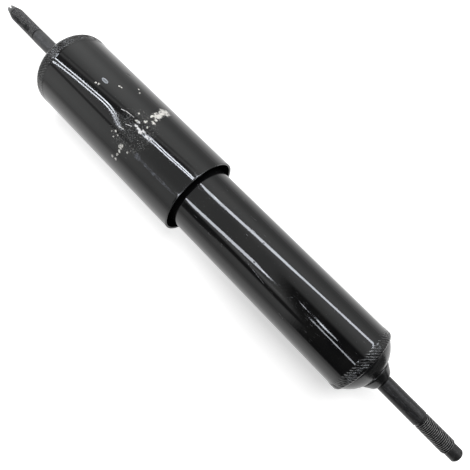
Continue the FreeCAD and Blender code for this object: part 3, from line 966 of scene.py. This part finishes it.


# Dust cover: a thin steel tube over the rod, welded to its cap. Gloss black, knocked in a little
# at one place, with dirt, paint chips, spots rubbed bare and painted pale as glints, and flecks of dried
# paper round it.
def cover_wear_and_glints(place, colour, roughness, height):
    x, around, skin = unrolled(place, cover_r)
    fray = frayed(skin)

    def marked(spots, ragged):
        return spots_mask(x, around, cover_r, spots, fray * ragged)

    paper = marked(paper_flecks, fray_reach)
    bare_and_glint = marked(bare_and_glint_spots, fray_reach)
    broken = (fray + 0.5).eased(0.38, 0.50)
    bare_and_glint = bare_and_glint.most(scratches_mask(x, around, cover_r, bare_and_glint_scratches) * broken)
    soiled = marked([soiled_spot], 2.0)
    fine = drawn_out(skin, 8.0, 14.0).noise(2600.0, 1.0)
    fine = fine.most(drawn_out(skin, -40.0, 14.0).noise(2600.0, 1.0)).eased(0.70, 0.76) * soiled
    dirt = skin.noise(1300.0, 4.0, 0.75).eased(0.58, 0.64) * soiled
    grime = skin.noise(420.0, 5.0, 0.75).eased(0.50, 0.72) * soiled
    streak = marked([long_scuff], 2.0) * 0.5
    streak = streak.most(marked(scuffs, 7.0))
    streak = streak * drawn_out(skin, 0.0, 4.0).noise(1400.0, 3.0, 0.7).eased(0.36, 0.60)
    side_chip = marked([side_chip_spot], 1.4)
    chip = marked([chip_spot], 0.8)
    rim = chip * (1.0 - marked([chip_floor], 0.8))
    edge = x.eased(cover_low + dull_edge[0], cover_low + dull_edge[1])
    colour = (grime * 0.8).between(colour, grime_black)
    colour = (streak * 0.8).between(colour, scuff_grey)
    colour = (fine.most(dirt) * 0.65).between(colour, dirt_grey)
    colour = (chip * 0.45 + rim * 0.5).between(colour, primer_grey)
    colour = (side_chip * 0.9).between(colour, chip_black)
    # Bare steel, and a painted glint, on the rubbed spots and scratches
    colour = bare_and_glint.between(colour, bare_steel_and_glint)
    colour = paper.between(colour, skin.noise(1500.0, 3.0).between(paper_grey, paper_cream))
    dull = grime * 0.12 + streak * 0.2 + dirt * 0.3 + bare_and_glint * 0.3 + paper * 0.55 + edge * 0.25
    roughness = roughness + (dull + side_chip * 0.5).least(0.6)
    height = height + dirt * 2.0 - fine + rim * 4.0 + paper * 14.0 - side_chip * 40.0
    return colour, roughness, height


# Each fleck of paper: mm along the axis, degrees from +Y over the top, length and width in mm
paper_flecks = [
    (216.4, 116.3, 5.2, 5.6),
    (217.4, 130.6, 6.0, 6.6),
    (216.8, 123.5, 3.4, 4.6),
    (217.8, 110.3, 2.2, 2.4),
    (214.3, 109.5, 2.4, 2.0),
    (213.2, 104.4, 3.4, 1.6),
    (217.0, 98.1, 2.0, 2.2),
    (221.2, 90.8, 1.5, 1.3),
    (224.0, 99.8, 1.2, 1.2),
    (213.1, 94.4, 1.4, 1.3),
    (217.3, 53.7, 3.0, 3.0),
    (217.0, 47.5, 2.0, 2.0),
    (217.3, 41.5, 1.6, 1.7),
    (220.3, 33.2, 1.7, 1.6),
    (217.3, 33.5, 1.8, 1.5),
    (211.6, 54.5, 1.2, 1.3),
    (226.2, 63.5, 1.6, 1.0),
    (225.6, 56.2, 1.2, 1.0),
    (223.5, 61.1, 1.5, 0.9),
    (228.6, 59.4, 1.0, 0.9),
    (256.6, 90.3, 1.4, 1.5),
    (258.7, 88.9, 1.2, 1.2),
    (247.7, 108.2, 1.5, 1.2),
    (246.2, 108.9, 1.2, 1.0),
    (240.7, 127.8, 1.3, 1.2),
    (237.5, 123.3, 1.5, 1.3),
]
# Spots rubbed to bare steel and painted pale as glints, dull scuffs, chips and the dirty place, given in
# the same way
bare_and_glint_spots = [
    (218.4, 86.2, 2.4, 1.5),
    (216.0, 85.4, 3.0, 1.4),
    (213.8, 84.2, 3.0, 2.2),
    (212.2, 87.6, 3.0, 1.4),
    (219.4, 91.2, 1.8, 1.6),
    (208.4, 85.4, 2.2, 1.2),
    (205.6, 87.0, 1.6, 1.0),
]
scuffs = [
    (204.6, 59.8, 5.0, 3.6),
    (197.0, 59.4, 2.6, 2.0),
    (189.4, 59.4, 2.4, 2.2),
    (181.0, 60.0, 2.6, 2.0),
]
long_scuff = (190.0, 59.6, 42.0, 2.0)
chip_spot = (256.2, 99.2, 5.6, 2.6)
chip_floor = (256.2, 99.2, 3.8, 1.4)
side_chip_spot = (255.4, 135.6, 3.6, 2.8)
soiled_spot = (217.5, 79.0, 32.0, 36.0)
# Each scratch down to bare steel, painted pale as a glint: its two ends, in mm and degrees, and its width
# in mm
bare_and_glint_scratches = [
    ((233.8, 87.7), (230.6, 89.6), 0.5),
    ((231.0, 90.0), (223.4, 91.8), 0.5),
    ((224.6, 78.0), (220.0, 82.0), 0.5),
    ((227.0, 70.0), (222.4, 72.4), 0.5),
]
grime_black = (0.036, 0.036, 0.035)
scuff_grey = (0.105, 0.112, 0.135)
dirt_grey = (0.30, 0.295, 0.28)
primer_grey = (0.42, 0.45, 0.50)
chip_black = (0.045, 0.045, 0.045)
# Pale bare steel that is also a painted glint
bare_steel_and_glint = (0.80, 0.80, 0.80)
paper_grey = (0.78, 0.76, 0.70)
paper_cream = (0.98, 0.97, 0.94)
fray_reach = 12.0
dull_edge = (0.9 * mm, 0.3 * mm)
cover_low, cover_high = (corner.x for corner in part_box("dust_cover"))
cover_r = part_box("dust_cover")[1].z
cover_wall = 1.2 * mm
cover_lip = 0.2 * mm
cover_around = 360
cover_rings = 120
dent_place = 217.0 * mm
dent_angle = math.radians(79.0)
dent_depth = 0.05 * mm
dent_reach = 8.0 * mm
bore_r = cover_r - cover_wall
ring_step = (cover_high - cover_low) / cover_rings
outer_line = [(cover_low + ring_step * i, cover_r) for i in range(cover_rings + 1)]
lip = softened([(cover_low, bore_r), (cover_low, cover_r), outer_line[1]], cover_lip)[1:-1]
cover_outline = [(cover_high, bore_r), (cover_low + cover_lip, bore_r), *lip, *outer_line[1:]]
cover_shape = turned(cover_outline, cover_around, closed=True)
for vert in cover_shape.verts:
    _, y, z = vert.co
    arc = cover_r * (math.atan2(z, y) - dent_angle)
    away = ((vert.co.x - dent_place) ** 2 + arc ** 2) / dent_reach ** 2
    sink = 1 - dent_depth * math.exp(-away) / cover_r
    vert.co.y *= sink
    vert.co.z *= sink
piece(
    "dust_cover_shell", "rod_assembly", "gloss_black_paint", "dust_cover",
    [gloss_black("gloss_black_cover", cover_wear_and_glints)], cover_shape,
)


# Cover cap and its seam weld: a shallow pressed cap on the rod's pilot, its rim welded to the
# cover in one turn. Both are painted with the cover.
cover_weld_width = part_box("dust_cover_weld")[1].x - cover_high
cover_weld_overhang = 1.0 * mm
cover_cap_outline = pressed_cap(
    inner_r=cover_r - cover_wall, wall=2.0 * mm, bend_r=1.0 * mm, bend_end=54.0, dome_r=45.0 * mm,
    flat_r=19.0 * mm, hole_r=pilot_r, skirt=6.0 * mm, knee_depth=cover_weld_width - cover_weld_overhang,
)
piece(
    "cover_cap_shell", "rod_assembly", "gloss_black_paint", "dust_cover_cap", [gloss_paint],
    turned(placed(cover_cap_outline, cover_high, 1), cap_around, closed=True),
)
cover_bead = bead_outline(
    cover_r, cover_wall, cover_weld_width, cover_weld_overhang,
    knee_r=3.0 * mm, corner_r=3.0 * mm, corner_end=56.0,
)
seam("cover_weld_bead", "rod_assembly", "dust_cover_weld", cover_bead, cover_high, 1, cover_r, worn_and_glinting=0.35)


# Stage: a white sheet under the damper and white tent light all round it. Narrow tubes hang over
# it, each placed by the line of light that it draws on the paint. The camera looks down, a little from +Y.
def lamp_point(x, degrees, radius):
    # Where the camera's line, thrown back by a point of the paint, meets the height of the lamps
    turn = math.radians(degrees)
    out = Vector((0.0, math.cos(turn), math.sin(turn)))
    point = Vector((x * mm, 0.0, 0.0)) + out * radius
    view = (eye - point).normalized()
    way = out * (2 * view.dot(out)) - view
    return point + way * (lamp_height - point.z) / way.z


def tube_light(name, start, end, radius, thickness, brightness):
    # A strip lamp whose reflection is a line of that thickness, in mm, between two places on the
    # paint, (x in mm, degrees)
    ends = [lamp_point(*spot, radius) for spot in (start, end)]
    along = (ends[1] - ends[0]).normalized()
    middle = (ends[0] + ends[1]) / 2
    reach = Vector((end[0] - start[0], math.radians(end[1] - start[1]) * radius / mm)).normalized()
    side_x = (start[0] + end[0]) / 2 - reach.y * thickness / 2
    side_degrees = (start[1] + end[1]) / 2 + math.degrees(reach.x * thickness / 2 * mm / radius)
    aside = lamp_point(side_x, side_degrees, radius) - middle
    down = Vector((middle.x, 0.0, 0.0)) - middle
    down = (down - along * down.dot(along)).normalized()
    lamp = bpy.data.lights.new(name, "AREA")
    lamp.shape = "RECTANGLE"
    lamp.size = (ends[1] - ends[0]).length
    lamp.size_y = 2 * (aside - along * aside.dot(along)).length
    lamp.energy = brightness * math.pi * lamp.size * lamp.size_y
    lamp.color = tube_tint
    made = added(name, lamp)
    made.matrix_world = Matrix((along, down.cross(along) * -1, down * -1)).transposed().to_4x4()
    made.location = middle
    made.visible_diffuse = False


def light_line(name, radius, thickness, brightness, path):
    # A row of strip lamps that draws a line of light along a path on the paint
    for part, (start, end) in enumerate(zip(path, path[1:])):
        tube_light("%s_%d" % (name, part), start, end, radius, thickness, brightness)


def twin_line(path, radius, side):
    # One line of a pair: each place of the path, (x in mm, degrees, half gap in mm), moved to its side
    flat = [Vector((x, math.radians(degrees) * radius / mm)) for x, degrees, _ in path]
    line = []
    for i, (_, _, half_gap) in enumerate(path):
        along = (flat[min(i + 1, len(path) - 1)] - flat[max(i - 1, 0)]).normalized()
        spot = flat[i] + Vector((along.y, -along.x)) * side * half_gap
        line.append((spot.x, math.degrees(spot.y * mm / radius)))
    return line


def band(way, middle, outer, inner, level):
    # The level in the middle of a band, falling to 0 between two distances from it
    return abs(way - middle).eased(outer, inner) * level


eye = Vector((83.08, 49.77, 252.43)) * mm
aim = Vector((134.19, 0.79, 0.0)) * mm
lamp_height = 0.7
broad_line = 1.4
narrow_line = 1.0
thin_line = 0.5
tube_tint = (0.88, 0.92, 1.0)
reserve_lines = [
    ("reserve_right", broad_line, 12.0, [(166.0, 93.9), (149.0, 95.0), (123.0, 98.3), (93.0, 101.5)]),
    ("reserve_right_low", narrow_line, 11.0, [(93.0, 101.5), (57.4, 105.1), (20.0, 108.6)]),
    ("reserve_left", broad_line, 11.0, [(166.0, 62.3), (143.0, 65.2), (104.0, 69.6)]),
    ("reserve_left_end", thin_line, 9.0, [(104.0, 69.4), (97.0, 69.1)]),
    ("reserve_low", thin_line, 8.0, [(67.0, 69.0), (20.0, 68.6)]),
    ("reserve_dash", thin_line, 14.0, [(75.8, 74.6), (73.2, 74.8)]),
    ("reserve_low_short", thin_line, 10.0, [(63.8, 74.1), (50.5, 74.7)]),
    ("reserve_low_flare", narrow_line, 9.0, [(63.2, 74.3), (58.2, 74.6)]),
]
for name, thickness, brightness, path in reserve_lines:
    light_line(name, reserve_r, thickness, brightness, path)

twin_thickness = 0.6
twin_brightness = 22.0
twin_paths = {
    "twin_upper": [(302.0, 69.5, 1.60), (291.0, 71.4, 1.30), (285.0, 72.8, 1.0), (273.0, 75.3, 0.87),
                   (258.0, 77.6, 0.87), (245.0, 79.5, 0.83), (240.0, 79.3, 0.82), (235.0, 77.6, 0.74),
                   (229.0, 73.6, 0.66), (223.5, 70.0, 0.40)],
    "twin_lower": [(213.5, 84.6, 0.70), (206.0, 86.4, 0.70), (200.0, 87.1, 0.66), (190.0, 87.5, 0.62),
                   (180.0, 88.7, 0.56), (168.0, 89.6, 0.45)],
}
for name, path in twin_paths.items():
    for side in (-1, 1):
        line = twin_line(path, cover_r, side)
        light_line("%s_%d" % (name, side), cover_r, twin_thickness, twin_brightness, line)

key_level = 0.72
key_tilt = math.radians(15.4)
key_distance = 2.4
key_size = 1.4
key_way = Vector((0.0, -math.sin(key_tilt), math.cos(key_tilt)))
key = bpy.data.lights.new("key", "AREA")
key.size = key_size
key.energy = key_level * math.pi ** 2 * key_distance ** 2
key_lamp = added("key", key)
key_lamp.location = Vector((aim.x, 0.0, 0.0)) + key_way * key_distance
key_lamp.rotation_euler = (key_way * -1).to_track_quat("-Z", "Y").to_euler()
key_lamp.visible_glossy = False

black = (0.0, 0.0, 0.0)
white = (1.0, 1.0, 1.0)
sheet_size = 3.0
sheet_middle = 0.16
sheet_glow = 0.52
paper_pale = (0.71, 0.71, 0.71)
paper_dim = (0.69, 0.69, 0.69)
# What the paint sees of the sheet is a painted reflection: it is dimmer far off, and dark in a wedge past
# the lower stem.
# Each edge of the wedge: the shares of x and y that it goes by, and where it starts and is full.
wedge_edges = [
    (1.0, 0.0, -0.012, -0.026),
    (0.25, 1.0, -0.001, -0.006),
    (1.0, -1.43, 0.028, 0.016),
]
wedge_dark = 0.9
far_off = (0.05, 0.35)
far_dim = 0.40
# What the camera sees of it: painted light from the glow, less in a patch beside the tubes so that the
# paper shows in soft shade there, more round that, white further out
shade_ends = ((0.185, 0.075), (-0.008, 0.030))
shade_reach = (0.20, 0.08)
lit_level = 0.20
beyond_reach = (0.30, 0.70)
beyond_level = 0.28
sheet_shape = bmesh.new()
bmesh.ops.create_grid(
    sheet_shape, size=sheet_size, matrix=Matrix.Translation((sheet_middle, 0.0, cad_box[0][2]))
)
floor = added("floor", plain(sheet_shape))
sheet, sheet_place = finish("white_sheet", Roughness=0.9, Specular_IOR_Level=0.0, Emission_Strength=1.0)
light_path = sheet.node_tree.nodes.new("ShaderNodeLightPath")
mirrored = Signal(light_path.outputs["Is Glossy Ray"])
looked_at = Signal(light_path.outputs["Is Camera Ray"])
direct = mirrored.most(looked_at).most(Signal(light_path.outputs["Is Transmission Ray"]))
sheet_x, sheet_y, _ = sheet_place.axes()
wedge = mirrored * wedge_dark
for share_x, share_y, start, full in wedge_edges:
    wedge = wedge * (sheet_x * share_x + sheet_y * share_y).eased(start, full)
dimmed = wedge.most(abs(sheet_y).eased(*far_off) * far_dim * mirrored)
paper_white = sheet_place.noise(60.0).between(paper_dim, paper_pale)
shaded = sheet_x.eased(*shade_ends[0]) * sheet_x.eased(*shade_ends[1]) * abs(sheet_y).eased(*shade_reach)
beyond = abs(sheet_x - sheet_middle).most(abs(sheet_y)).eased(*beyond_reach)
# The glow by place is painted light: it lifts the floor round the shaded patch to white
glow = direct * sheet_glow + looked_at * ((1.0 - shaded) * lit_level + beyond * beyond_level)
glow = glow * (1.0 - dimmed)
feed(sheet, Base_Color=dimmed.between(paper_white, black), Emission_Color=glow.between(black, white))
floor.data.materials.append(sheet)

# The tent, by degrees overhead from +Y and by lean along the axis: panels and bars of the tent are
# bands, (middle, outer and inner half width, level), and other pairs are where an edge fades
fill_level = 0.3
tent_tint = (0.985, 1.0, 0.995)
tent_level = 0.53
tent_dark = 0.94
right_panel = (132.0, 38.0, 4.0, 0.48)
left_panel = (30.0, 34.0, 6.0, 0.25)
upper_end = (0.45, 0.75)
upper_level = 0.15
far_end = (0.92, 1.15)
far_level = 0.40
door_corner = (80.0, 24.0)
door_slant = 0.085
door_edge = (0.08, 0.0)
door_spread = (-0.4, -2.6)
door_foot = (-9.0, 4.0)
foot_spread = 12.0
door_head = (98.0, 86.0)
head_spread = 80.0
frame_middle = 32.0
frame_half = (9.0, 3.0)
frame_widens = (0.16, 0.30)
frame_growth = 4.0
frame_end = (0.375, 0.345)
frame_dark = 0.96
frame_rim = (45.0, 4.0, 1.0, 0.5)
rim_ends = ((0.25, 0.20), (0.0, 0.03))
cover_bar = (49.0, 5.0, 1.5, 0.7)
cover_bar_end = (0.50, 0.62)
twin_turn = 55.0
twin_bar = (128.0, 9.0, 4.0, 0.80)
twin_rim = (143.0, 4.0, 1.0, 0.45)
twin_end = (0.36, 0.42)
tent = bpy.data.worlds.new("tent")
tent.use_nodes = True
bpy.context.scene.world = tent
way = Signal(tent.node_tree.nodes.new("ShaderNodeTexCoord").outputs["Generated"])
way_x, way_y, way_z = way.axes()
overhead = way.math("ARCTAN2", way_z, way_y) * (180 / math.pi)
lean = way_x / way.off_axis()
soft = tent_level + band(overhead, *right_panel) + band(overhead, *left_panel)
soft = soft + lean.eased(*upper_end) * upper_level + lean.eased(*far_end) * far_level
soft = soft + band(overhead, *frame_rim) * lean.eased(*rim_ends[0]) * lean.eased(*rim_ends[1])
spread = lean.eased(*door_spread)
doorway = (lean + overhead.eased(*door_corner) * door_slant).eased(*door_edge)
doorway = doorway * (overhead + spread * foot_spread).eased(*door_foot)
doorway = doorway * (overhead - spread * head_spread).eased(*door_head)
wider = lean.eased(*frame_widens) * frame_growth
door_frame = (abs(overhead - frame_middle + wider) - wider).eased(*frame_half)
door_frame = door_frame * lean.eased(*frame_end) * frame_dark
beside_twin = overhead + lean * twin_turn
beside_twin = band(beside_twin, *twin_bar).most(band(beside_twin, *twin_rim)) * lean.eased(*twin_end)
dark = doorway.most(door_frame).most(band(overhead, *cover_bar) * lean.eased(*cover_bar_end))
soft = soft * (1.0 - dark.most(beside_twin) * tent_dark)
tent_grey = way.node("ShaderNodeVectorMath", {"operation": "SCALE"}, {0: tent_tint, "Scale": soft})
rays = tent.node_tree.nodes.new("ShaderNodeLightPath")
plain_ray = Signal(rays.outputs["Is Camera Ray"]).most(Signal(rays.outputs["Is Transmission Ray"]))
tent_light = plain_ray.between((fill_level, fill_level, fill_level), white)
tent_light = Signal(rays.outputs["Is Glossy Ray"]).between(tent_light, tent_grey)
tent.node_tree.links.new(tent_light.socket, tent.node_tree.nodes["Background"].inputs["Color"])

camera = added("camera", bpy.data.cameras.new("camera"))
camera.data.sensor_width = 36.0
camera.data.lens = 32.15
camera.location = eye
camera.rotation_euler = (aim - eye).to_track_quat("-Z", "Y").to_euler()
bpy.context.scene.camera = camera
bpy.context.scene.view_settings.view_transform = "Standard"
